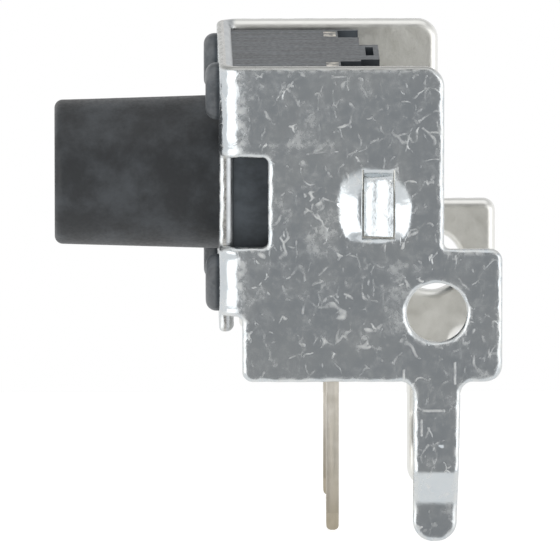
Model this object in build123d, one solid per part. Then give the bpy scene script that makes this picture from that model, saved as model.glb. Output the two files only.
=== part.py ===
"""Side-operated tactile switch in a folded sheet-metal bracket, for through-hole boards.

Millimetres. The origin lies on the board's surface, midway between the two contact terminals.
+Z points up from the board, -Y out of the button, and X runs across the switch.

A moulded base holds two insert-moulded terminals and a snap dome. A plunger presses the dome.
The bracket is one folded sheet: its front closes the base, which is riveted to it by four heads,
and its two sides stand on the board and carry one kinked snap-in leg each.
"""
import os

from build123d import *

# ---- bracket: one sheet, folded back at both sides -----------------------------------------
sheet = 0.35                  # sheet thickness
bracket_width = 7.3           # over the two sides
bracket_top = 7.72            # top edge above the board
bend_radius = 0.15            # inside radius of the two folds
side_depth = 5.42             # front face to the rear edge, above the step
foot_depth = 6.83             # front face to the rear edge, below the step
foot_height = 3.25            # step above the board
relief_width = 0.2            # notch between the front and the foot
front_bottom = 1.15           # lower edge of the front above the board
fold_bottom = 1.6             # lower end of the folds above the board
relief_radius = 0.15          # inside corners of the outline
top_corner_radius = 0.5
step_corner_radius = 0.3
heel_corner_radius = 0.4
toe_corner_radius = 0.25
lip_corner_radius = 0.15      # lower front edge

# window cut across each fold
window_depth = 1.17           # front face to the window's rear edge
window_bottom = 3.3
window_top = 5.5
window_corner_radius = 0.15

# round pilot hole in each side, above the leg
pilot_radius = 0.725
pilot_height = 1.7

# ---- board footprint -----------------------------------------------------------------------
terminal_pitch = 4.5          # between the two contact terminals
row_pitch = 2.5               # terminal row to leg row
terminal_setback = 2.75       # front face of the bracket to the terminal row

# snap-in legs
leg_width = 1.15              # at the board
leg_tip_width = 1.05
leg_length = 3.93
leg_tip_radius = 0.5
leg_root_radius = 0.3
kink_start = 0.68             # depth below the board where the leg turns outwards
kink_depth = 2.13             # depth of the outermost point
kink_end = 2.96               # depth where the leg is upright again
kink_reach = 0.32             # how far the kink stands out

# retaining lance: an oval dish pressed into each side, with a tongue cut in its floor
lance_width = 0.74            # tongue
lance_top = 5.2
lance_bottom = 3.5
dish_clearance = 0.02         # the pressed dish, beside the base
dish_half_width = 0.93
dish_half_height = 1.02
dish_slope = 0.43             # width of the sloping wall at the dish's sides
dish_end_slope = 0.16         # and at its top and bottom
dish_shift = 0.08             # the dish's middle, in front of the tongue's
lance_gap = 0.05              # cut around the tongue
lance_tilt = 6.0              # degrees that the tongue leans inwards
lance_clearance = 0.02        # behind the base

# ---- moulded base --------------------------------------------------------------------------
base_width = 6.0
base_height = 6.0
base_depth = 3.1              # behind the bracket's front
axis_height = 4.55           # button axis above the board
base_edge_radius = 0.12
cavity_radius = 2.2
floor_skin = 0.1              # plastic over the terminals at the cavity floor
rivet_across = 4.3            # pattern of the four rivet studs
rivet_up = 4.7
rivet_stud_radius = 0.5
rivet_head_radius = 0.69
rivet_head_height = 0.32
rivet_hole_clearance = 0.04
pocket_width = 1.0            # pockets behind the trimmed terminal ends
pocket_height = 0.4
pocket_setback = 0.05         # behind the terminals
boss_depth = 0.45             # boss on the rear face
boss_width = 3.65
boss_height = 0.9
boss_pocket = 1.2             # recess in the boss's top
boss_pocket_inset = 0.35      # from the boss's inner end
boss_wall = 0.13              # around the recess
boss_shelf_width = 1.5        # lower shelf at the boss's outer end
boss_shelf_drop = 0.15

# ---- terminals -----------------------------------------------------------------------------
terminal_width = 0.7
terminal_thickness = 0.3
terminal_length = 3.87        # below the board
terminal_tip_taper = 0.45     # height of the tapered tip
terminal_tip_width = 0.3
terminal_tip_radius = 0.12
pad_radius = 0.45             # centre contact
pad_proud = 0.02              # centre contact above the cavity floor
rim_pad_radius = 0.14         # the two contacts under the dome's rim
rim_pad_spread = 0.75         # their height above and below the axis

# ---- snap dome and plunger -----------------------------------------------------------------
dome_radius = 2.05
dome_height = 0.35
dome_thickness = 0.07
travel = 0.25                 # full stroke of the plunger
stem_tip_radius = 1.75
stem_root_radius = 1.88
stem_reach = 3.97             # front face of the bracket to the button's end
stem_edge_radius = 0.2
stem_clearance = 0.08         # in the bracket's hole
flange_radius = 2.1
flange_thickness = 0.7
flange_clearance = 0.02       # behind the bracket's front
core_radius = 1.5
core_depth = 0.55
nub_radius = 0.65
nub_edge_radius = 0.15
nub_clearance = 0.02          # above the dome

# ---- places worked out from the sizes above ------------------------------------------------
front_y = -terminal_setback                       # front face of the bracket
inside_y = front_y + sheet                        # front face of the base
base_rear_y = inside_y + base_depth
terminal_front_y = -terminal_thickness / 2
floor_y = terminal_front_y - floor_skin           # cavity floor
dome_apex_y = floor_y - dome_height
nub_y = dome_apex_y - nub_clearance
side_x = bracket_width / 2                        # outer face of a side
side_inner_x = side_x - sheet
lance_press = side_inner_x - base_width / 2 - dish_clearance    # depth of the dish
leg_y = row_pitch
base_top = axis_height + base_height / 2
base_bottom = axis_height - base_height / 2
lance_front_y = base_rear_y + lance_clearance
lance_y = lance_front_y + lance_width / 2
through = 4 * bracket_width                       # longer than anything it cuts


def block(x0, x1, y0, y1, z0, z1):
    """A box given by its faces."""
    size = Box(x1 - x0, y1 - y0, z1 - z0)
    return Pos((x0 + x1) / 2, (y0 + y1) / 2, (z0 + z1) / 2) * size


def rod(radius, y0, y1, x=0.0, z=axis_height):
    """A round bar along Y."""
    bar = Rot(90, 0, 0) * Cylinder(radius, y1 - y0)
    return Pos(x, (y0 + y1) / 2, z) * bar


def rounded(face, corners):
    """A flat face with some corners rounded: corners lists (point, radius)."""
    for point, radius in corners:
        corner = face.vertices().sort_by_distance(Vector(*point))[0]
        face = fillet(corner, radius)
    return face


def across(face):
    """A side-view outline, drawn as (Y, Z), cut right across the switch."""
    return extrude(Plane.YZ * face, through / 2, both=True)


def side_view():
    """The bracket as it is seen from the side, without its legs."""
    foot_y = inside_y + relief_width
    heel_y = front_y + foot_depth
    back_y = front_y + side_depth
    outline = make_face(Polyline(
        (front_y, front_bottom), (inside_y, front_bottom), (inside_y, fold_bottom),
        (foot_y, fold_bottom), (foot_y, 0), (heel_y, 0), (heel_y, foot_height),
        (back_y, foot_height), (back_y, bracket_top), (front_y, bracket_top), close=True,
    ))
    return rounded(outline, [
        ((front_y, front_bottom), lip_corner_radius),
        ((foot_y, fold_bottom), relief_radius),
        ((foot_y, 0), toe_corner_radius),
        ((heel_y, 0), heel_corner_radius),
        ((heel_y, foot_height), step_corner_radius),
        ((back_y, foot_height), relief_radius),
        ((back_y, bracket_top), top_corner_radius),
    ])


def channel():
    """The folded sheet before it is trimmed: a U open to the rear."""
    rear_y = front_y + foot_depth + sheet
    outer = Pos(0, (front_y + rear_y) / 2) * Rectangle(bracket_width, rear_y - front_y)
    outer = rounded(outer, [((x, front_y), bend_radius + sheet) for x in (-side_x, side_x)])
    inner = Pos(0, (inside_y + rear_y) / 2) * Rectangle(2 * side_inner_x, rear_y - inside_y)
    inner = rounded(inner, [((x, inside_y), bend_radius) for x in (-side_inner_x, side_inner_x)])
    return extrude(outer - inner, bracket_top)


def leg(side):
    """One kinked snap-in leg with its rounded root, on the side given by its sign."""
    outer = side_x
    inner = side_inner_x
    upright = make_face(Polyline(
        (outer, sheet), (outer, -kink_start), (outer + kink_reach, -kink_depth),
        (outer, -kink_end), (outer, -leg_length), (inner, -leg_length), (inner, -kink_end),
        (inner + kink_reach, -kink_depth), (inner, -kink_start), (inner, sheet), close=True,
    ))
    strip = extrude(Plane.XZ * upright, through / 2, both=True)
    half = leg_width / 2
    tip_y = leg_y - half + leg_tip_width
    corners = [(leg_y - half, -leg_length), (tip_y, -leg_length)]
    shank = make_face(Polyline(
        (leg_y - half, sheet), *corners, (leg_y + half, -kink_start), (leg_y + half, sheet),
        close=True,
    ))
    shank = rounded(shank, [(corner, leg_tip_radius) for corner in corners])
    flare = half + leg_root_radius
    root = Pos(leg_y, (sheet - leg_root_radius) / 2) * Rectangle(
        2 * flare, sheet + leg_root_radius)
    for end in (-1, 1):
        root -= Pos(leg_y + end * flare, -leg_root_radius) * Circle(leg_root_radius)
    outline = shank + root
    return mirrored(strip & across(outline), side)


def mirrored(solid, side):
    """The same solid on the other side of the switch where side is negative."""
    return solid if side > 0 else mirror(solid, Plane.YZ)


def press(depth_x):
    """The oval dish of the lance, with its mouth at depth_x, on the positive side."""
    middle = Pos(lance_y - dish_shift, (lance_top + lance_bottom) / 2)
    mouth = middle * Ellipse(dish_half_width, dish_half_height)
    floor = middle * Ellipse(dish_half_width - dish_slope, dish_half_height - dish_end_slope)
    return loft([Plane.YZ.offset(depth_x) * mouth, Plane.YZ.offset(depth_x - lance_press) * floor])


def tongue():
    """The retaining tongue: hinged at its top, leaning inwards behind the base."""
    face_x = side_x - lance_press
    length = lance_top - lance_bottom - lance_gap
    strip = block(-sheet, 0, lance_front_y, lance_front_y + lance_width, -length, sheet / 2)
    return Pos(face_x, 0, lance_top) * Rot(0, lance_tilt, 0) * strip


def lanced(sheet_metal, side):
    """The bracket with the dish pressed in and its tongue cut free on one side."""
    bump = mirrored(press(side_inner_x), side)
    pocket = mirrored(press(side_x), side)
    slot = mirrored(block(
        side_inner_x - 2 * lance_press, side_x,
        lance_front_y - lance_gap, lance_front_y + lance_width + lance_gap,
        lance_bottom, lance_top), side)
    return (sheet_metal + bump - pocket - slot) + mirrored(tongue(), side)


def bracket():
    """The folded bracket: front, two sides, two legs, two lances."""
    metal = channel() & across(side_view())
    flat_x = side_x - bend_radius - sheet
    for side in (-1, 1):
        outward = sorted((side * flat_x, side * through))
        metal -= block(*outward, front_y - sheet, inside_y + relief_width - relief_radius,
                       0, fold_bottom)
        metal -= block(*outward, front_y - sheet, inside_y, window_bottom, window_top)
    window = Rectangle(window_depth, window_top - window_bottom)
    window = Pos(front_y + window_depth / 2, (window_top + window_bottom) / 2) * window
    window = rounded(window, [
        ((front_y + window_depth, z), window_corner_radius) for z in (window_bottom, window_top)])
    cutter = across(window) - block(-flat_x, flat_x, front_y - sheet, inside_y, 0, bracket_top)
    metal -= cutter
    metal -= rod(stem_root_radius + stem_clearance, front_y - sheet, inside_y + sheet)
    for x, z in rivet_places():
        metal -= rod(rivet_stud_radius + rivet_hole_clearance, front_y - sheet,
                     inside_y + sheet, x, z)
    metal -= across(Pos(leg_y, pilot_height) * Circle(pilot_radius))
    for side in (-1, 1):
        metal += leg(side)
        metal = lanced(metal, side)
    return metal


def rivet_places():
    """Centres of the four rivets, as (X, Z)."""
    return [(x, axis_height + z)
            for x in (-rivet_across / 2, rivet_across / 2)
            for z in (-rivet_up / 2, rivet_up / 2)]


def terminal(side):
    """One stamped terminal: an upright strip that runs through the base to its pin."""
    x = side * terminal_pitch / 2
    half = terminal_width / 2
    tip = terminal_tip_width / 2
    outline = make_face(Polyline(
        (x - half, base_top), (x + half, base_top),
        (x + half, terminal_tip_taper - terminal_length), (x + tip, -terminal_length),
        (x - tip, -terminal_length), (x - half, terminal_tip_taper - terminal_length),
        close=True,
    ))
    strip = extrude(Plane.XZ * outline, terminal_thickness / 2, both=True)
    ends = strip.faces().sort_by(Axis.Z)[0].edges().filter_by(Axis.X)
    return fillet(ends, terminal_tip_radius)


def centre_terminal():
    """The terminal whose arm carries the centre contact."""
    x = -terminal_pitch / 2
    arm = block(x, 0, terminal_front_y, -terminal_front_y,
                axis_height - terminal_width / 2, axis_height + terminal_width / 2)
    pad = rod(pad_radius, floor_y - pad_proud, -terminal_front_y)
    return terminal(-1) + arm + pad


def rim_terminal():
    """The terminal whose two contacts the dome's rim rests on."""
    strip = terminal(1)
    x = terminal_pitch / 2 - terminal_width / 2 + rim_pad_radius
    for z in (-rim_pad_spread, rim_pad_spread):
        strip += rod(rim_pad_radius, floor_y, terminal_front_y, x - rim_pad_radius / 2,
                     axis_height + z)
    return strip


def rivet(x, z):
    """One stud of the base with its staked head in front of the bracket."""
    stud = rod(rivet_stud_radius, front_y - rivet_head_height / 2, inside_y, x, z)
    head = rod(rivet_head_radius, front_y - rivet_head_height, front_y, x, z)
    head = fillet(head.edges().sort_by(Axis.Y)[0], 0.8 * rivet_head_height)
    return head + stud


def base_housing(terminals):
    """The moulded base, moulded around the terminals."""
    half = base_width / 2
    body = block(-half, half, inside_y, base_rear_y, base_bottom, base_top)
    body = fillet(body.edges().filter_by(Axis.Y), base_edge_radius)
    boss_x = half - boss_width
    boss = block(boss_x, half - base_edge_radius, base_rear_y, base_rear_y + boss_depth,
                 base_top - boss_height, base_top)
    boss -= block(half - boss_shelf_width, half, base_rear_y, base_rear_y + boss_depth,
                  base_top - boss_shelf_drop, base_top)
    pocket_x = boss_x + boss_pocket_inset
    boss -= block(pocket_x, pocket_x + boss_pocket, base_rear_y + boss_wall,
                  base_rear_y + boss_depth - boss_wall, base_top - boss_height / 2, base_top)
    body += boss
    for x in (-terminal_pitch / 2, terminal_pitch / 2):
        body -= block(x - pocket_width / 2, x + pocket_width / 2,
                      terminal_thickness / 2 + pocket_setback, base_rear_y,
                      base_top - pocket_height, base_top)
    body -= rod(cavity_radius, inside_y, floor_y)
    for x, z in rivet_places():
        body += rivet(x, z)
    for piece in terminals:
        body -= piece
    return body


def contact_dome():
    """The snap dome: a thin cap whose rim stands on the cavity floor."""
    def arch(radius, height):
        ball = (radius ** 2 + height ** 2) / (2 * height)
        middle = (radius / 2, floor_y - height + ball - (ball ** 2 - radius ** 2 / 4) ** 0.5)
        return ThreePointArc((0, floor_y - height), middle, (radius, floor_y))
    inner_radius, inner_height = dome_radius - dome_thickness, dome_height - dome_thickness
    outline = make_face([
        arch(dome_radius, dome_height),
        Line((dome_radius, floor_y), (inner_radius, floor_y)),
        arch(inner_radius, inner_height),
        Line((0, floor_y - inner_height), (0, floor_y - dome_height)),
    ])
    return Pos(0, 0, axis_height) * revolve(outline, Axis.Y)


def plunger():
    """The button: a tapered stem, a flange that the bracket keeps in, and a nub on the dome."""
    tip_y = front_y - stem_reach
    flange_y = inside_y + flange_clearance
    stem = Rot(90, 0, 0) * Cone(stem_root_radius, stem_tip_radius, flange_y - tip_y)
    stem = Pos(0, (tip_y + flange_y) / 2, axis_height) * stem
    stem = fillet(stem.edges().sort_by(Axis.Y)[0], stem_edge_radius)
    flange = rod(flange_radius, flange_y, flange_y + flange_thickness)
    core_y = flange_y + flange_thickness
    core = rod(core_radius, core_y, core_y + core_depth)
    nub = rod(nub_radius, core_y + core_depth, nub_y)
    nub = fillet(nub.edges().sort_by(Axis.Y)[-1], nub_edge_radius)
    return stem + flange + core + nub


def main():
    os.makedirs("parts", exist_ok=True)
    left, right = centre_terminal(), rim_terminal()
    pieces = {
        "bracket": bracket(),
        "base_housing": base_housing([left, right]),
        "plunger": plunger(),
        "contact_dome": contact_dome(),
        "centre_terminal": left,
        "rim_terminal": right,
    }
    for name, solid in pieces.items():
        export_step(solid, f"parts/{name}.step")


main()
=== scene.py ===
# %% [markdown]
# # A side-operated tactile switch in a folded metal bracket
# The switch solders into a circuit board and stands up from it, with its round button pointing
# along the board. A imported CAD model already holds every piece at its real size. This notebook
# gives those pieces their real surfaces: tumbled tin plate, moulded plastic and silvered pins.

# %% Load the switch
import math
import bmesh
import bpy
import numpy as np
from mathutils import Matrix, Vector
from mathutils.geometry import delaunay_2d_cdt


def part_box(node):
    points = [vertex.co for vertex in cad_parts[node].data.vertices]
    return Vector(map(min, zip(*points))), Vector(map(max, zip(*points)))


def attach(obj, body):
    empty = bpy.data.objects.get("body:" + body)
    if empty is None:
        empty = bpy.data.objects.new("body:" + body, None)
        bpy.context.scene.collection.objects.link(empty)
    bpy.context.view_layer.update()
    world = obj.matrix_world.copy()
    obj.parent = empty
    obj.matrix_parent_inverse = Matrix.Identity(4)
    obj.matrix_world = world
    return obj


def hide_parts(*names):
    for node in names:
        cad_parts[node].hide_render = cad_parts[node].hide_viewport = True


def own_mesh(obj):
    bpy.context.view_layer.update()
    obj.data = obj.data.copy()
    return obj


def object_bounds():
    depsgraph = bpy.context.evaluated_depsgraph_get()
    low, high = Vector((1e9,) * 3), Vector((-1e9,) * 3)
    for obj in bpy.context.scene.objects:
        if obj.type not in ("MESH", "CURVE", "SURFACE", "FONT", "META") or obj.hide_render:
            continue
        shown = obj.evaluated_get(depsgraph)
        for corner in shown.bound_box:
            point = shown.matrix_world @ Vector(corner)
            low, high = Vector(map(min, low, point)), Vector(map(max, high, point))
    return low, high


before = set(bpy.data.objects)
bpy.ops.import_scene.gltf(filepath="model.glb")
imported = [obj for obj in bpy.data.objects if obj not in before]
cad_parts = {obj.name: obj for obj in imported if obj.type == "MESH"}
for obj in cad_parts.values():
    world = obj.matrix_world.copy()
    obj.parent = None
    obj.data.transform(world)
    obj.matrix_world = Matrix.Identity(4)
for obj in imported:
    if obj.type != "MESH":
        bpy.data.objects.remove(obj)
cad_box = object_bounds()
MM = 0.001
bracket_low, bracket_high = (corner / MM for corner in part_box("bracket"))
front_y, back_foot_y = bracket_low.y, bracket_high.y
tip_z, top_z = bracket_low.z, bracket_high.z
print("pieces:", sorted(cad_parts))
print("box in mm:", [[round(c / MM, 2) for c in corner] for corner in cad_box])

# %% [markdown]
# ## Small helpers for materials
# Every finish here is a node tree on a Principled shader. A few short helpers keep each recipe
# readable: one starts a material, one adds a node with its settings, and one joins two sockets.
# A value that is the same all over a surface is typed into the shader's own socket. The helpers
# only ask for a node tree, so the world can be built with them too.

# %% Start a material
def start_material(name, **plain_values):
    material = bpy.data.materials.new(name)
    material.use_nodes = True
    shader = material.node_tree.nodes["Principled BSDF"]
    for socket, value in plain_values.items():
        shader.inputs[socket.replace("_", " ")].default_value = value
    return material, shader


def grey(level, warmth=0.0):
    return (level * (1 + warmth), level, level * (1 - warmth), 1)


print("a neutral half grey:", grey(0.5))

# %% Add and join nodes
def add(material, kind, inputs=None, **settings):
    node = material.node_tree.nodes.new("ShaderNode" + kind)
    for name, value in settings.items():
        setattr(node, name, value)
    for socket, value in (inputs or {}).items():
        if hasattr(value, "is_output"):
            material.node_tree.links.new(value, node.inputs[socket])
        else:
            node.inputs[socket].default_value = value
    return node


def join(material, out_socket, in_socket):
    material.node_tree.links.new(out_socket, in_socket)


print("helpers ready")

# %% [markdown]
# ## Coordinates in millimetres
# The surface marks on a part this small are tenths of a millimetre long. Object coordinates are
# in metres, so each pattern first multiplies them by a thousand: a noise scale of 2 then means
# two waves to the millimetre. The marks stay on the metal when the switch or the camera moves.

# %% Patterns that are measured in millimetres
def millimetres(material, stretch=(1, 1, 1), turn=(0, 0, 0)):
    place = add(material, "TexCoord")
    scaled = add(material, "Mapping", {"Vector": place.outputs["Object"], "Rotation": turn,
                                       "Scale": [s / MM for s in stretch]})
    return scaled.outputs["Vector"]


def noise(material, vector, scale, detail=3.0, roughness=0.55):
    node = add(material, "TexNoise", {"Vector": vector, "Scale": scale, "Detail": detail,
                                      "Roughness": roughness})
    return node.outputs["Fac"]


def between(material, value, low, high, to_low=0.0, to_high=1.0):
    node = add(material, "MapRange", {"Value": value, "From Min": low, "From Max": high,
                                      "To Min": to_low, "To Max": to_high},
               interpolation_type="SMOOTHSTEP")
    return node.outputs["Result"]


def maths(material, operation, first, second=0.5):
    node = add(material, "Math", {0: first, 1: second}, operation=operation)
    return node.outputs["Value"]


def mix_colour(material, factor, first, second):
    node = add(material, "Mix", {"Factor": factor, "A": first, "B": second}, data_type="RGBA")
    return node.outputs["Result"]


print("pattern helpers ready")

# %% [markdown]
# ## Tin plate that has been tumbled
# The brackets are plated and carried loose in bulk, so they rub on one another. The flat outside
# keeps a clear, mirror-like grey, crossed by short curved scratches, rubbed patches and bright
# nicks. A cell pattern gives curved lines for free: its edges are thin, wander and end anywhere
# once a noise mask breaks them. Straight line textures were the other choice, but they look ruled.
# Every mark is a factor from 0 to 1, and the strongest one wins at each place.

# %% Curved scratches from broken cell edges
def bend_vector(material, vector, scale, amount):
    wander = add(material, "TexNoise", {"Vector": vector, "Scale": scale, "Detail": 2.0})
    centred = add(material, "VectorMath", {0: wander.outputs["Color"], 1: (0.5, 0.5, 0.5)},
                  operation="SUBTRACT")
    sized = add(material, "VectorMath", {0: centred.outputs["Vector"], "Scale": amount},
                operation="SCALE")
    moved = add(material, "VectorMath", {0: vector, 1: sized.outputs["Vector"]}, operation="ADD")
    return moved.outputs["Vector"]


def scratches(material, vector, cells, width, kept, patch_scale):
    bent = bend_vector(material, vector, cells * 0.8, 1.1 / cells)
    edge = add(material, "TexVoronoi", {"Vector": bent, "Scale": cells, "Randomness": 1.0},
               feature="DISTANCE_TO_EDGE")
    line = between(material, edge.outputs["Distance"], 0.0, width, 1.0, 0.0)
    patch = between(material, noise(material, vector, patch_scale, 1.0), kept, kept + 0.07)
    return maths(material, "MULTIPLY", line, patch)


def nicks(material, vector, cells, size, kept):
    spot = add(material, "TexVoronoi", {"Vector": vector, "Scale": cells, "Randomness": 1.0},
               feature="F1")
    dot = between(material, spot.outputs["Distance"], size * 0.5, size, 1.0, 0.0)
    pick = between(material, spot.outputs["Color"], kept, kept + 0.02)
    return maths(material, "MULTIPLY", dot, pick)


print("scratch recipes ready")

# %% Straight bruises that the press tools leave
def bruise(material, y, z, half_y, half_z, soft=0.02):
    """A soft bar on the sides, centred at y and z."""
    parts = add(material, "SeparateXYZ", {"Vector": millimetres(material)})
    sides = []
    for axis, middle, half in (("Y", y, half_y), ("Z", z, half_z)):
        off = maths(material, "ABSOLUTE", maths(material, "SUBTRACT", parts.outputs[axis], middle))
        sides.append(between(material, off, half - soft, half + soft, 1.0, 0.0))
    return maths(material, "MULTIPLY", *sides)


leg_bruises = [(2.43, -0.70, 0.27, 0.030), (2.13, -1.10, 0.025, 0.20),
               (1.70, 0.17, 0.025, 0.15), (2.94, 0.22, 0.025, 0.28)]
print(len(leg_bruises), "bruises at each leg")

# %% Scratches and nicks together
def tumbling_marks(material, here):
    """Long, short and fine scratches, nicks, and the bruises of the leg."""
    long_marks = scratches(material, here, 0.8, 0.042, 0.53, 1.9)
    short_marks = scratches(material, bend_vector(material, here, 1.3, 0.5), 1.5, 0.06, 0.53, 3.1)
    across = millimetres(material, stretch=(1.0, 1.0, 0.55), turn=(0.7, 0.2, 0.3))
    fine_marks = scratches(material, across, 2.4, 0.08, 0.50, 4.3)
    marks = maths(material, "MAXIMUM", maths(material, "MAXIMUM", long_marks, short_marks),
                  maths(material, "MULTIPLY", fine_marks, 0.7))
    uneven = between(material, noise(material, here, 2.7, 2.0), 0.35, 0.7, 0.15, 0.58)
    ragged = between(material, noise(material, here, 10.0, 3.0), 0.3, 0.6, 0.5, 1.0)
    marks = maths(material, "MULTIPLY", marks, maths(material, "MULTIPLY", uneven, ragged))
    bright_nicks = maths(material, "MULTIPLY", nicks(material, here, 2.6, 0.10, 0.84), 0.7)
    marks = maths(material, "MAXIMUM", marks, bright_nicks)
    for place_and_size in leg_bruises:
        bar = maths(material, "MULTIPLY", maths(material, "MULTIPLY", ragged, 0.55),
                    bruise(material, *place_and_size))
        marks = maths(material, "MAXIMUM", marks, bar)
    return marks


def rubbing_and_fold_sheen(material, here):
    """Cloudy patches on the flats, rubbed rims beside cuts, and a painted sheen where folds end."""
    mottle = between(material, noise(material, here, 4.0, 6.0, 0.72), 0.42, 0.72, 0.0, 0.17)
    patches = maths(material, "MULTIPLY",
                    between(material, noise(material, here, 1.5, 3.0), 0.52, 0.72, 0.0, 0.27),
                    between(material, noise(material, here, 7.0, 4.0, 0.7), 0.35, 0.62, 0.25, 1.0))
    # the rims mask also holds a painted sheen in a band where each fold ends
    rims_and_fold_sheen = add(material, "Attribute", attribute_name="rim_wear_and_sheen").outputs["Fac"]
    rims_and_fold_sheen = maths(material, "MULTIPLY", rims_and_fold_sheen,
                 between(material, noise(material, here, 5.0, 4.0), 0.35, 0.65, 0.1, 0.6))
    return maths(material, "MAXIMUM", maths(material, "ADD", mottle, patches), rims_and_fold_sheen)


print("three kinds of scratches, nicks, bruises and rubbing")

# %% Outside of the bracket
clean_tin = [(0.60, 0.645, 0.68, 1), (0.68, 0.72, 0.74, 1)]
# worn tin, also the colour of the painted sheen beside each fold
worn_tin_and_sheen = (0.90, 0.89, 0.85, 1)
# painted shade: the top edge of the bracket is painted duller and darker
top_edge_shade_tin = (0.44, 0.44, 0.42, 1)


def tumbled_tin():
    material, shader = start_material("tumbled_tin", Metallic=1.0)
    here = millimetres(material)
    marks = tumbling_marks(material, here)
    worn_and_sheen = maths(material, "MAXIMUM", marks, rubbing_and_fold_sheen(material, here))
    clouds = between(material, noise(material, here, 0.7, 3.0), 0.3, 0.7)
    tin = mix_colour(material, worn_and_sheen, mix_colour(material, clouds, *clean_tin), worn_tin_and_sheen)
    height = add(material, "SeparateXYZ", {"Vector": here}).outputs["Z"]
    # painted shade along the top edge
    top_edge_shade = between(material, height, top_z - 0.10, top_z - 0.03, 0.0, 0.85)
    join(material, mix_colour(material, top_edge_shade, tin, top_edge_shade_tin), shader.inputs["Base Color"])
    gloss = maths(material, "ADD", 0.16, maths(material, "MULTIPLY", worn_and_sheen, 0.55))
    join(material, gloss, shader.inputs["Roughness"])
    grain = noise(material, here, 3.2, 3.0)
    relief = maths(material, "ADD", maths(material, "MULTIPLY", marks, 0.5), grain)
    bump = add(material, "Bump", {"Height": relief, "Strength": 0.35, "Distance": 0.03 * MM})
    join(material, bump.outputs["Normal"], shader.inputs["Normal"])
    return material


tin_outside = tumbled_tin()
print("outside finish:", tin_outside.name, len(tin_outside.node_tree.nodes), "nodes")

# %% [markdown]
# ## The sheltered inside and the cut edges
# The inside faces look at each other and nothing rubs them, so their plating stays even, slightly
# warm and more matte. Their rims and a band where each fold ends are painted paler, a painted
# highlight. Where the front sheet lies against the base it is painted greyer, a painted shade
# between the two parts. The cut itself was torn through the plating, so it is darker and
# finely broken. All three are one metal, so each is a plain metallic shader with its own tone,
# roughness and bump.

# %% Inside finish
sheltered_tones = [(0.68, 0.675, 0.635, 1), (0.78, 0.775, 0.735, 1)]
# painted highlight: the inside rims and the band where a fold ends are painted paler
inside_rim_highlight = (0.92, 0.92, 0.89, 1)
# painted shade: the front sheet's inside, between it and the base, is painted greyer
front_sheet_shade = (0.50, 0.525, 0.545, 1)


def sheltered_tin():
    material, shader = start_material("sheltered_tin", Metallic=1.0)
    here = millimetres(material)
    cloud = between(material, noise(material, here, 1.4, 4.0), 0.35, 0.65)
    rims_and_fold_sheen = add(material, "Attribute", attribute_name="rim_wear_and_sheen").outputs["Fac"]
    tin = mix_colour(material, rims_and_fold_sheen, mix_colour(material, cloud, *sheltered_tones), inside_rim_highlight)
    depth = add(material, "SeparateXYZ", {"Vector": here}).outputs["Y"]
    # painted shade where the front sheet lies against the base
    front_sheet_shade_mask = between(material, depth, front_y + 0.36, front_y + 0.50, 0.9, 0.0)
    join(material, mix_colour(material, front_sheet_shade_mask, tin, front_sheet_shade),
         shader.inputs["Base Color"])
    join(material, between(material, noise(material, here, 3.0), 0.3, 0.7, 0.3, 0.42),
         shader.inputs["Roughness"])
    bump = add(material, "Bump", {"Height": noise(material, here, 14.0, 3.0), "Strength": 0.3,
                                  "Distance": 0.006 * MM})
    join(material, bump.outputs["Normal"], shader.inputs["Normal"])
    return material


tin_inside = sheltered_tin()
print("inside finish:", tin_inside.name)

# %% Finish of the cut edges
torn_tones = [(0.42, 0.42, 0.405, 1), (0.68, 0.672, 0.645, 1)]


def cut_edge():
    material, shader = start_material("cut_edge", Metallic=1.0)
    torn = noise(material, millimetres(material), 7.0, 4.0, 0.7)
    join(material, mix_colour(material, torn, *torn_tones), shader.inputs["Base Color"])
    join(material, between(material, torn, 0.3, 0.7, 0.2, 0.4), shader.inputs["Roughness"])
    bump = add(material, "Bump", {"Height": torn, "Strength": 0.5, "Distance": 0.02 * MM})
    join(material, bump.outputs["Normal"], shader.inputs["Normal"])
    return material


tin_edge = cut_edge()
print("edge finish:", tin_edge.name)

# %% [markdown]
# ## The bracket starts as a flat blank
# The real bracket is punched from a strip and folded, so it is made here the same way. The blank
# is drawn in two numbers: s, the distance along the sheet from its middle, and z, the height.
# A mesh cut from the CAD solid was the other choice, but its folds have only a few facets, and
# its edges are knife sharp. A punched edge is rolled over, and that thin bright line matters.

# %% Sizes of the sheet
sheet = 0.35
fold_radius = 0.5
kink_reach = 0.32
kink_start, kink_knee, kink_end = -0.68, -2.13, -2.96
side_x = bracket_high.x - kink_reach
flat_half = side_x - fold_radius
fold_length = fold_radius * math.pi / 2
plunger_low, plunger_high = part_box("plunger")
button_z = (plunger_low.z + plunger_high.z) / 2 / MM
leg_y = 2.5


def along(y):
    """Distance along the blank of a place on the side that ends up at depth y."""
    return flat_half + fold_length + y - (front_y + fold_radius)


print("sheet", sheet, "mm, sides at", round(side_x, 3), "mm, button at", round(button_z, 3), "mm")
print("the leg's middle lies", round(along(leg_y), 2), "mm along the blank")

# %% [markdown]
# ## Outlines with rounded corners
# Each outline is a short list of corners with a radius. A helper replaces every corner by an arc
# and divides the straight runs, so that they can follow a fold or a dish later.

# %% Turn corners into a smooth loop
STEP = 0.09
ARC_STEP = 0.04


def corner_arc(before, here, after, radius):
    if radius == 0:
        return [here]
    to_before, to_after = (before - here).normalized(), (after - here).normalized()
    opening = to_before.angle(to_after)
    centre = here + (to_before + to_after).normalized() * radius / math.sin(opening / 2)
    start = here + to_before * radius / math.tan(opening / 2) - centre
    end = here + to_after * radius / math.tan(opening / 2) - centre
    turn = math.pi - opening
    count = max(4, math.ceil(turn * radius / ARC_STEP))
    steps = [i / count for i in range(count + 1)]
    return [centre + (start * math.sin((1 - t) * turn) + end * math.sin(t * turn))
            / math.sin(turn) for t in steps]


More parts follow.
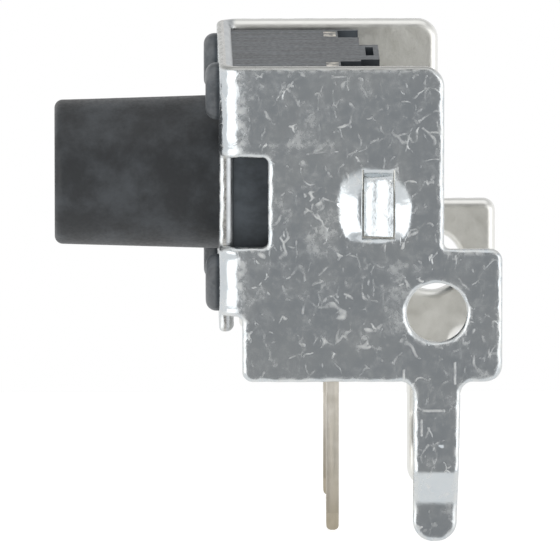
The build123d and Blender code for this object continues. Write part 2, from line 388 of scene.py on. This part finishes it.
def divided(points):
    loop = []
    for here, after in zip(points, points[1:] + points[:1]):
        pieces = max(1, math.ceil((after - here).length / STEP - 1e-6))
        loop += [here.lerp(after, i / pieces) for i in range(pieces)]
    return loop


def rounded_loop(corners):
    places = [Vector((s, z)) for s, z, _ in corners]
    points = []
    for i, (_, _, radius) in enumerate(corners):
        points += corner_arc(places[i - 1], places[i], places[(i + 1) % len(places)], radius)
    return divided(points)


def circle_loop(s, z, radius):
    count = math.ceil(2 * math.pi * radius / ARC_STEP)
    angles = [2 * math.pi * i / count for i in range(count)]
    return [Vector((s + radius * math.cos(a), z + radius * math.sin(a))) for a in angles]


test_square = [(0, 0, 0), (1, 0, 0.2), (1, 1, 0.2), (0, 1, 0)]
print("a test square has", len(rounded_loop(test_square)), "points")

# %% The outer outline
def blank_outline():
    """One half as (s, z, corner radius), from the front lip round the leg to the top."""
    lip_z, notch_z, foot_top_z = 1.15, 1.6, 3.25
    side_front, side_back = along(-2.2), along(2.67)
    leg_front, leg_back = along(leg_y - 0.575), along(leg_y + 0.575)
    foot_back, leg_tip_back = along(back_foot_y), leg_front + 1.05
    half = [
        (flat_half, lip_z, 0.12), (flat_half, notch_z, 0.03), (side_front, notch_z, 0.15),
        (side_front, 0, 0.25), (leg_front, 0, 0.3), (leg_front, tip_z, 0.5),
        (leg_tip_back, tip_z, 0.5), (leg_back, kink_start, 0), (leg_back, 0, 0.3),
        (foot_back, 0, 0.4), (foot_back, foot_top_z, 0.3), (side_back, foot_top_z, 0.15),
        (side_back, top_z, 0.5),
    ]
    return rounded_loop(half + [(-s, z, radius) for s, z, radius in reversed(half)])


outline = blank_outline()
print("outline:", len(outline), "points,", round(2 * along(back_foot_y), 2), "mm long when flat")

# %% [markdown]
# ## Holes in the blank
# The punch also cuts the button's hole, four holes for the base's studs, a pilot hole in each
# side, a window across each fold, and the slot that frees a small tongue. The tongue springs in
# behind the plastic base and keeps it in the bracket.

# %% The holes
tongue_front, tongue_back = 0.72, 1.46
tongue_middle = (tongue_front + tongue_back) / 2
tongue_top, tongue_bottom = 5.2, 3.5
slot_width = 0.02


def mirrored(loop):
    return [Vector((-p.x, p.y)) for p in reversed(loop)]


def tongue_slot():
    """A slot down the front of the tongue, under it and up its back."""
    front, back = along(tongue_front), along(tongue_back)
    front_out, back_out = front - slot_width, back + slot_width
    end = tongue_bottom + slot_width
    corners = [(front_out, tongue_top), (front_out, tongue_bottom), (back_out, tongue_bottom),
               (back_out, tongue_top), (back, tongue_top), (back, end), (front, end),
               (front, tongue_top)]
    return rounded_loop([(s, z, 0) for s, z in corners])


def fold_window():
    """Open across the fold, from the flat front to the side."""
    window_back, low, high, corner = along(front_y + 1.17), 3.3, 5.5, 0.15
    return rounded_loop([(flat_half, low, 0), (window_back, low, corner),
                         (window_back, high, corner), (flat_half, high, 0)])


slot = tongue_slot()
tongue_slots = [slot, mirrored(slot)]
pilot_z, pilot_radius = 1.7, 0.725
side_holes = [fold_window(), circle_loop(along(leg_y), pilot_z, pilot_radius)]
stud_s, stud_z, stud_radius = 2.15, 2.35, 0.54
stud_holes = [circle_loop(s, button_z + z, stud_radius)
              for s in (-stud_s, stud_s) for z in (-stud_z, stud_z)]
button_hole = circle_loop(0, button_z, 1.96)
holes = [button_hole] + tongue_slots + side_holes + [mirrored(loop) for loop in side_holes]
print(len(holes) + len(stud_holes), "holes in the blank")

# %% [markdown]
# ## Rings beside every edge
# A punched edge isn't sharp: the metal rolls over towards the cut. The blank gets a few rings
# that follow each outline a few hundredths of a millimetre apart, and each ring is later sunk a
# little to draw a quarter circle. The last ring lies flat, which keeps the shading beside it clean.
# The tongue's slot and the stud holes are too narrow for full rings, so theirs lie closer.

# %% Offset a loop into the metal
ring_steps = [0.0, 0.008, 0.027, 0.055, 0.09, 0.13, 0.18, 0.215]
roll_outside = 0.13
roll_inside = 0.18


def signed_area(loop):
    return sum(a.x * b.y - b.x * a.y for a, b in zip(loop, loop[1:] + loop[:1])) / 2


def offset_loop(loop, distance, metal_side):
    """Each point moves along the mean of its two edge normals, towards the metal."""
    turn = metal_side * (1 if signed_area(loop) > 0 else -1)
    moved = []
    for i, here in enumerate(loop):
        back, ahead = here - loop[i - 1], loop[(i + 1) % len(loop)] - here
        normal_back = Vector((-back.y, back.x)).normalized()
        normal_ahead = Vector((-ahead.y, ahead.x)).normalized()
        mean = (normal_back + normal_ahead).normalized()
        moved.append(here + mean * turn * distance / mean.dot(normal_ahead))
    return moved


def rings_of(loop, metal_side, share=1.0):
    """(ring, how far in it lies as if the edge roll were full size) for one loop."""
    return [(offset_loop(loop, d * share, metal_side), d) for d in ring_steps]


slot_share, stud_share = 0.2, 0.3
all_rings = [rings_of(outline, 1)]
all_rings += [rings_of(loop, -1, slot_share if loop in tongue_slots else 1.0) for loop in holes]
all_rings += [rings_of(loop, -1, stud_share) for loop in stud_holes]
print(sum(len(ring) for rings in all_rings for ring, _ in rings), "points in the rings")

# %% [markdown]
# ## Filling the blank
# A fold or a dish needs points to bend at, so the middle of the blank gets a lattice: close
# columns across each fold, a fine patch over each dish, and a wider net elsewhere. A constrained
# Delaunay fill then joins lattice and rings into clean triangles.

# %% Lattice points, away from the rings
dish_y, dish_z = 1.01, 4.35
dish_half_y, dish_half_z = 0.93, 1.02
net_step, dish_step, leg_step_across, leg_step_down = 0.19, 0.055, 0.10, 0.06


def lattice():
    flat = np.arange(-flat_half, flat_half + 1e-6, flat_half / 16)
    fold = flat_half + np.linspace(0.04, 1, 14) * fold_length
    side = np.arange(flat_half + fold_length + 0.1, along(back_foot_y), net_step)
    columns = np.concatenate([flat, fold, -fold, side, -side])
    net = [(s, z) for s in columns for z in np.arange(tip_z + 0.11, top_z, net_step)]
    around_dish = np.arange(-1.1, 1.11, dish_step)
    across_leg = np.arange(-0.4, 0.41, leg_step_across)
    down_leg = np.arange(-3.4, 0, leg_step_down)
    for sign in (-1, 1):
        net += [(sign * (along(dish_y) + a), dish_z + b) for a in around_dish for b in around_dish]
        net += [(sign * (along(leg_y) + a), z) for a in across_leg for z in down_leg]
    return np.array(net)


def inside(points, loops):
    """Even-odd test of many points against all the loops."""
    odd = np.zeros(len(points), bool)
    for loop in loops:
        a = np.array(loop)
        b = np.roll(a, -1, axis=0)
        for (ax, ay), (bx, by) in zip(a, b):
            crosses = (ay > points[:, 1]) != (by > points[:, 1])
            if crosses.any():
                at = (bx - ax) * (points[:, 1] - ay) / (by - ay if by != ay else 1) + ax
                odd ^= crosses & (points[:, 0] < at)
    return odd


def far_from(points, rings, gap):
    edge = np.array([p for ring in rings for p in ring])
    keep = np.ones(len(points), bool)
    for i, point in enumerate(points):
        keep[i] = np.min(np.sum((edge - point) ** 2, axis=1)) > gap ** 2
    return keep


last_rings = [rings[-1][0] for rings in all_rings]
net = lattice()
net = net[inside(net, last_rings)]
net = net[far_from(net, last_rings, 0.045)]
print(len(net), "lattice points inside the metal")

# %% Fill with triangles
def fill_blank():
    points, inset, edges = [], [], []
    for rings in all_rings:
        for ring, depth in rings:
            first = len(points)
            points += [Vector(p) for p in ring]
            inset += [depth] * len(ring)
            edges += [(first + i, first + (i + 1) % len(ring)) for i in range(len(ring))]
    points += [Vector(p) for p in net]
    inset += [1.0] * len(net)
    placed, _, faces, sources, _, _ = delaunay_2d_cdt(points, edges, [], 0, 1e-7)
    inset = [min((inset[i] for i in source), default=1.0) for source in sources]
    middles = np.array([sum((placed[i] for i in face), Vector((0, 0))) / 3 for face in faces])
    kept = inside(middles, [rings[0][0] for rings in all_rings])
    return placed, inset, [face for face, keep in zip(faces, kept) if keep]


blank_points, blank_inset, blank_faces = fill_blank()
print("blank:", len(blank_points), "points and", len(blank_faces), "triangles")

# %% [markdown]
# ## Folding, kinking and dishing
# Now every point of the blank is carried to its place in space. The press tools of the real part
# become small formulas: the fold wraps the sheet round an arc, the kink pushes the legs outwards
# so that they snap into the board, and the dish pushes an oval inwards, with the tongue bent
# further in. Real tools leave no perfect surface, so the fold waves and the edge roll wanders.

# %% Press tools
def smooth(t):
    t = min(max(t, 0.0), 1.0)
    return t * t * (3 - 2 * t)


def kink(z):
    """How far a leg stands out at height z: out to the knee, then back to upright."""
    soft = 0.09
    rise = kink_reach / (kink_start - kink_knee)
    fall = kink_reach / (kink_knee - kink_end)

    def ramp(depth):
        if depth <= -soft:
            return 0.0
        return depth if depth >= soft else (depth + soft) ** 2 / (4 * soft)

    return (rise * ramp(kink_start - z) - (rise + fall) * ramp(kink_knee - z)
            + fall * ramp(kink_end - z))


print("leg stands out", round(kink(kink_knee), 3), "mm at its knee")

# %% The dish and its tongue
press_depth = 0.16
dish_wall = 0.56
top_ramp, bottom_ramp = 0.95, 0.34
top_slant = 0.3
tongue_lead, tongue_twist = 0.08, 0.18


def dish(y, z):
    """How far the metal beside the tongue is drawn in at a place on the side."""
    across, up = abs(y - dish_y), (z - dish_z) / dish_half_z
    if up > 0:
        up += top_slant * max(y - dish_y, 0)
    if abs(up) >= 1:
        return 0.0
    half_width = dish_half_y * (1 - abs(up) ** 3) ** (1 / 3)
    ramp = top_ramp if up > 0 else bottom_ramp
    lengthways = smooth((1 - abs(up)) * dish_half_z / ramp)
    return press_depth * lengthways * smooth((half_width - across) / dish_wall)


def tongue_push(y, z):
    """The tongue bends in at its hinge, twists a little, then runs straight down."""
    below = tongue_top - z
    across = (y - tongue_middle) / (tongue_back - tongue_front)
    start = dish(y, tongue_top)
    level = start + (press_depth + tongue_lead - start) * smooth(below / 0.26)
    twist = -tongue_twist * across * smooth((below - 0.05) / 0.3)
    flutes = 0.006 * math.cos(4 * math.pi * across) * smooth((below - 0.18) / 0.1)
    return level + twist + flutes


def side_push(y, z):
    """Total movement of a side, positive inwards."""
    on_tongue = tongue_front - 0.01 < y < tongue_back + 0.01 and (
        tongue_bottom + slot_width / 2 < z < tongue_top)
    push = tongue_push(y, z) if on_tongue else dish(y, z)
    return push - (kink(z) if z < 0 else 0.0)


end_push = side_push(tongue_middle, tongue_bottom + slot_width)
print("the tongue's end stands", round(end_push, 3), "mm in")

# %% Place a point of the sheet
def fold_wave(angle, z):
    """The press leaves the fold slightly wavy along its length."""
    return 0.014 * math.sin(2 * angle) * (math.sin(9.1 * z) + 0.7 * math.sin(21 * z + 1.3))


def fold_run_out(distance):
    """The side still leans a little just after the fold."""
    return 0.016 * math.exp(-distance / 0.12)


def place(s, z, depth):
    """Where a point of the blank ends up, at some depth below the sheet's outside."""
    side = -1 if s < 0 else 1
    run = abs(s)
    if run <= flat_half:
        return Vector((s, front_y + depth, z)) * MM
    if run <= flat_half + fold_length:
        angle = (run - flat_half) / fold_radius
        reach = fold_radius - depth - fold_wave(angle, z)
        lean = fold_run_out(0) * math.sin(angle) ** 2
        sideways = flat_half + reach * math.sin(angle) - lean
        return Vector((side * sideways, front_y + fold_radius - reach * math.cos(angle), z)) * MM
    past_fold = run - flat_half - fold_length
    y = front_y + fold_radius + past_fold
    inwards = depth + side_push(y, z) + fold_run_out(past_fold)
    return Vector((side * (side_x - inwards), y, z)) * MM


halfway = place(flat_half + fold_length / 2, button_z, 0)
print("halfway round the fold:", [round(c / MM, 2) for c in halfway])

# %% The roll of a cut edge
def roll_wander(point):
    """The roll is not the same size all along an edge: a share of its full size."""
    wander = math.sin(7.3 * point.x + 2.1 * math.sin(5.1 * point.y))
    wander *= math.sin(6.7 * point.y + 1.7 * math.sin(4.3 * point.x))
    return 0.78 + 0.22 * wander


def rolled(inset, radius):
    """Depth of a rolled edge at a distance from the cut."""
    if inset >= radius:
        return 0.0
    return radius - math.sqrt(radius ** 2 - (radius - inset) ** 2)


def rim_wear_and_sheen(point, inset):
    """How rubbed a point is, full at a cut edge and none on the flat, plus a painted sheen where a
    fold ends.
    """
    past_fold = abs(point.x) - flat_half - fold_length
    # painted sheen: a lighter band just past the fold that softens the fold's highlight
    fold_sheen = math.exp(-((past_fold - 0.02) / 0.13) ** 2)
    return max(smooth(1 - inset / ring_steps[-1]), 0.8 * fold_sheen)


print("rubbed at an edge:", rim_wear_and_sheen(Vector((0, 5)), 0), "and on the flat:",
      round(rim_wear_and_sheen(Vector((0, 5)), 1), 2))

# %% Build the folded bracket
OUTSIDE, INSIDE, EDGE = 0, 1, 2


def folded_bracket():
    shape = bmesh.new()
    wear_and_sheen_layer = shape.verts.layers.float.new("rim_wear_and_sheen")
    skins = []
    for skin in (OUTSIDE, INSIDE):
        verts = []
        for point, inset in zip(blank_points, blank_inset):
            if skin == OUTSIDE:
                depth = rolled(inset, roll_outside * roll_wander(point))
            else:
                depth = sheet - rolled(inset, roll_inside)
            verts.append(shape.verts.new(place(point.x, point.y, depth)))
            verts[-1][wear_and_sheen_layer] = rim_wear_and_sheen(point, inset)
        skins.append(verts)
    for face in blank_faces:
        shape.faces.new([skins[OUTSIDE][i] for i in face]).material_index = OUTSIDE
        shape.faces.new([skins[INSIDE][i] for i in reversed(face)]).material_index = INSIDE
    rim = [edge for edge in shape.edges if len(edge.link_faces) == 1]
    outer_of = dict(zip(skins[INSIDE], skins[OUTSIDE]))
    for edge in rim:
        if edge.verts[0] in outer_of:
            a, b = edge.verts
            face = shape.faces.new([a, b, outer_of[b], outer_of[a]])
            face.material_index = EDGE
    bmesh.ops.delete(shape, geom=[v for v in shape.verts if not v.link_faces], context="VERTS")
    bmesh.ops.recalc_face_normals(shape, faces=shape.faces)
    for face in shape.faces:
        face.smooth = True
    return shape


def finished(shape, name, body, materials):
    mesh = bpy.data.meshes.new(name)
    shape.to_mesh(mesh)
    shape.free()
    for material in materials:
        mesh.materials.append(material)
    piece = bpy.data.objects.new(name, mesh)
    bpy.context.scene.collection.objects.link(piece)
    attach(piece, body)
    return piece


bracket = finished(folded_bracket(), "folded_bracket", "switch_body",
                   [tin_outside, tin_inside, tin_edge])
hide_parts("bracket")
print("bracket:", len(bracket.data.polygons), "faces")

# %% [markdown]
# ## Black plastics
# The base is moulded in a glass-filled black plastic with a satin skin, faintly streaked along
# the way it flowed into the mould. Its four studs were squeezed into heads in front of the
# bracket, which left them blotchy, and the heads are painted paler, a painted highlight. The
# button is a deeper black with a fine matte texture that catches specks of dust. One recipe makes
# both, so that they stay related.

# %% Base and button finishes
# painted highlight: the stud heads are painted paler than the base
head_highlight_plastic = grey(0.30, -0.03)


def moulded_black(name, dark, pale, shine, roughness, grain, bump_depth, streak=(1, 1, 1),
                  head_highlight=0.0):
    material, shader = start_material(name, Specular_IOR_Level=shine)
    here = millimetres(material)
    drawn = millimetres(material, streak)
    cloud = between(material, noise(material, drawn, 0.9, 5.0, 0.62), 0.36, 0.70)
    specks = nicks(material, here, 2.7, 0.06, 0.9)
    dusty = maths(material, "MAXIMUM", cloud, maths(material, "MULTIPLY", specks, 2.0))
    depth = add(material, "SeparateXYZ", {"Vector": here}).outputs["Y"]
    # painted highlight on the stud heads in front of the bracket, with squeezed blotches
    staked = between(material, depth, front_y - 0.12, front_y - 0.02, head_highlight, 0.0)
    squeezed = between(material, noise(material, here, 2.4, 4.0, 0.65), 0.35, 0.65, 0.35, 1.0)
    head_highlight_mask = maths(material, "MULTIPLY", staked, squeezed)
    plastic = mix_colour(material, dusty, dark, pale)
    join(material, mix_colour(material, head_highlight_mask, plastic, head_highlight_plastic),
         shader.inputs["Base Color"])
    fine = noise(material, here, grain, 3.0)
    join(material, between(material, fine, 0.3, 0.7, roughness - 0.05, roughness + 0.07),
         shader.inputs["Roughness"])
    bump = add(material, "Bump", {"Height": fine, "Strength": 0.4, "Distance": bump_depth * MM})
    join(material, bump.outputs["Normal"], shader.inputs["Normal"])
    return material


base_black = moulded_black("base_black", grey(0.052, -0.12), grey(0.110, -0.13), shine=0.20,
                           roughness=0.40, grain=9.0, bump_depth=0.005, streak=(6, 0.7, 1),
                           head_highlight=0.5)
button_black = moulded_black("button_black", grey(0.022, -0.11), grey(0.064, -0.11), shine=0.5,
                             roughness=0.48, grain=12.0, bump_depth=0.010)
print("plastics:", base_black.name, button_black.name)

# %% [markdown]
# ## Silvered pins and the snap dome
# The terminals are brass strip with thin silver plating, a touch warmer than the tin, and browner
# towards the trimmed tips. Their other ends, high up on the base, are painted dark in patches, a
# painted shade. The dome is bright spring steel, hidden inside the base.

# %% Contact metals
silver_tones = [(0.68, 0.64, 0.56, 1), (0.84, 0.80, 0.725, 1)]
brown_tip = (0.42, 0.37, 0.28, 1)
# painted shade: the pins' upper ends are painted dark in patches
upper_end_shade = (0.12, 0.12, 0.12, 1)


def silvered_brass():
    material, shader = start_material("silvered_brass", Metallic=1.0)
    here = millimetres(material)
    height = add(material, "SeparateXYZ", {"Vector": here}).outputs["Z"]
    tip = between(material, height, tip_z, tip_z + 2.6, 0.9, 0.0)
    blotch = between(material, noise(material, here, 1.8, 4.0), 0.35, 0.65)
    silver = mix_colour(material, blotch, *silver_tones)
    torn = between(material, noise(material, here, 5.0, 4.0, 0.7), 0.38, 0.60, 0.0, 0.9)
    # painted shade over the upper ends, in patches
    upper_end_shade_mask = maths(material, "MULTIPLY", torn, between(material, height, 1.0, 2.0))
    silver = mix_colour(material, upper_end_shade_mask, silver, upper_end_shade)
    join(material, mix_colour(material, tip, silver, brown_tip), shader.inputs["Base Color"])
    streak = noise(material, millimetres(material, (9.0, 9.0, 0.6)), 1.0, 3.0)
    join(material, between(material, streak, 0.3, 0.7, 0.38, 0.58), shader.inputs["Roughness"])
    bump = add(material, "Bump", {"Height": streak, "Strength": 0.4, "Distance": 0.012 * MM})
    join(material, bump.outputs["Normal"], shader.inputs["Normal"])
    return material


def spring_steel():
    material, shader = start_material("spring_steel", Metallic=1.0)
    here = millimetres(material)
    join(material, mix_colour(material, noise(material, here, 2.0), grey(0.6, 0.02), grey(0.75)),
         shader.inputs["Base Color"])
    join(material, between(material, noise(material, here, 8.0), 0.3, 0.7, 0.2, 0.32),
         shader.inputs["Roughness"])
    return material


pin_silver = silvered_brass()
dome_steel = spring_steel()
print("contact metals:", pin_silver.name, dome_steel.name)

# %% [markdown]
# ## Dressing the pieces that keep their shape
# Apart from the bracket, the imported pieces already have their real shapes, so they only get a
# finish, with smooth shading that breaks at true corners. The dome is the one soft piece among
# them, and it gets a mesh of its own; its shape stays as imported.

# %% Dress the CAD pieces
def dress(node, material):
    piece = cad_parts[node]
    piece.data.materials.clear()
    piece.data.materials.append(material)
    for face in piece.data.polygons:
        face.use_smooth = True
    piece.data.set_sharp_from_angle(angle=math.radians(35))
    return piece


dress("base_housing", base_black)
dress("plunger", button_black)
dress("centre_terminal", pin_silver)
dress("rim_terminal", pin_silver)
dome = dress("contact_dome", dome_steel)
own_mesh(dome)
print("dressed:", [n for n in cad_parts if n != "bracket"])

# %% [markdown]
# ## A plain white studio
# Bright metal shows its room, so the room is the real material. The switch stands in a white tent
# with a darker oval opening beside it and a dimmer ceiling. A flat side that faces the opening
# looks grey, and every fold and slope turns towards the white walls and flashes bright. A room
# modelled from planes was the other choice, but a few nodes in the world do it with no noise.

# %% World with a darker opening
opening_middle, opening_squeeze = (1.0, 0.0, 0.10), (0.9, 1.0, 0.55)
opening_light, wall_light, wall_light_in_gloss, ceiling_share = 0.31, 0.90, 0.92, 0.6


def tent_world():
    world = bpy.data.worlds.new("white_tent")
    world.use_nodes = True
    background = world.node_tree.nodes["Background"]
    background.inputs["Color"].default_value = (1, 1, 1, 1)
    direction = add(world, "TexCoord").outputs["Generated"]
    seen_by = add(world, "LightPath").outputs
    walls = add(world, "Mix", {"Factor": seen_by["Is Glossy Ray"], "A": wall_light,
                               "B": wall_light_in_gloss}).outputs["Result"]
    height = add(world, "SeparateXYZ", {"Vector": direction}).outputs["Z"]
    ceiling = between(world, height, 0.2, 0.8, 1.0, ceiling_share)
    shaded = maths(world, "MULTIPLY", walls, ceiling)
    off_middle = add(world, "VectorMath", {0: direction, 1: opening_middle}, operation="SUBTRACT")
    oval = add(world, "VectorMath", {0: off_middle.outputs["Vector"], 1: opening_squeeze},
               operation="MULTIPLY")
    distance = add(world, "VectorMath", {0: oval.outputs["Vector"]}, operation="LENGTH")
    tent = between(world, distance.outputs["Value"], 0.22, 0.50, opening_light, shaded)
    white = add(world, "Mix", {"Factor": seen_by["Is Camera Ray"], "A": tent, "B": 1.0})
    join(world, white.outputs["Result"], background.inputs["Strength"])
    return world


bpy.context.scene.world = tent_world()
print("world:", bpy.context.scene.world.name)

# %% [markdown]
# ## Soft lamps
# Two low, wide lamps stand on both sides of the opening and are caught only by what turns away
# from it: the folds, the rolled edges and the slopes of the dish. A third one, overhead, lifts
# the plastic's upper faces a little.

# %% Lamps on both sides of the opening and above
def direction_to(azimuth, elevation):
    """Unit vector in degrees: azimuth 0 is the button's side and 90 the right side."""
    a, e = math.radians(azimuth), math.radians(elevation)
    return Vector((math.sin(a) * math.cos(e), -math.cos(a) * math.cos(e), math.sin(e)))


def soft_lamp(name, azimuth, elevation, width, height, radiance):
    lamp = bpy.data.lights.new(name, "AREA")
    lamp.shape = "RECTANGLE"
    lamp.size, lamp.size_y = width, height
    lamp.energy = radiance * math.pi * width * height
    holder = bpy.data.objects.new(name, lamp)
    towards = direction_to(azimuth, elevation)
    holder.location = towards * lamp_distance
    holder.rotation_euler = towards.to_track_quat("Z", "Y").to_euler()
    bpy.context.scene.collection.objects.link(holder)
    return holder


lamp_distance = 0.12
lamps = [soft_lamp("front_lamp", 46, 1, width=0.13, height=0.07, radiance=0.95),
         soft_lamp("back_lamp", 134, 1, width=0.13, height=0.07, radiance=0.95),
         soft_lamp("top_lamp", 90, 75, width=0.14, height=0.14, radiance=0.45)]
print("lamps:", [lamp.name for lamp in lamps])

# %% [markdown]
# ## Floor and camera
# The floor is a small pale sheet just under the legs. It keeps the soft shadow of the pins. What
# the camera sees of it is lifted to white, so its edge melts into the background, and the metal
# doesn't mirror it. The camera stands far off with a long lens, a little above the switch and
# almost square to its side, so that near and far sides come out at nearly one size.

# %% Floor
def pale_floor():
    half, gap_below_legs = 16 * MM, 0.02 * MM
    level = cad_box[0].z - gap_below_legs
    mesh = bpy.data.meshes.new("floor")
    corners = [(x * half, y * half, level) for x, y in ((-1, -1), (1, -1), (1, 1), (-1, 1))]
    mesh.from_pydata(corners, [], [(0, 1, 2, 3)])
    material, shader = start_material("pale_floor", Base_Color=grey(0.9), Roughness=0.9)
    seen = add(material, "LightPath")
    shader.inputs["Emission Color"].default_value = (1, 1, 1, 1)
    join(material, maths(material, "MULTIPLY", seen.outputs["Is Camera Ray"], 0.6),
         shader.inputs["Emission Strength"])
    mesh.materials.append(material)
    floor = bpy.data.objects.new("floor", mesh)
    floor.visible_glossy = False
    bpy.context.scene.collection.objects.link(floor)
    return floor


floor = pale_floor()
print("floor at", round(floor.data.vertices[0].co.z / MM, 2), "mm")

# %% Camera
def make_camera():
    target, distance, field = Vector((0, -1.24, 1.86)) * MM, 0.435, 13.63 * MM
    towards = direction_to(azimuth=89.2, elevation=10.3)
    lens = bpy.data.cameras.new("camera")
    lens.sensor_width = 36
    lens.lens = lens.sensor_width * distance / field
    lens.clip_start, lens.clip_end = 0.01, 5
    camera = bpy.data.objects.new("camera", lens)
    camera.location = target + towards * distance
    camera.rotation_euler = towards.to_track_quat("Z", "Y").to_euler()
    bpy.context.scene.collection.objects.link(camera)
    bpy.context.scene.camera = camera
    return camera


camera = make_camera()
bpy.context.scene.view_settings.view_transform = "Standard"
print("camera lens", round(camera.data.lens), "mm")
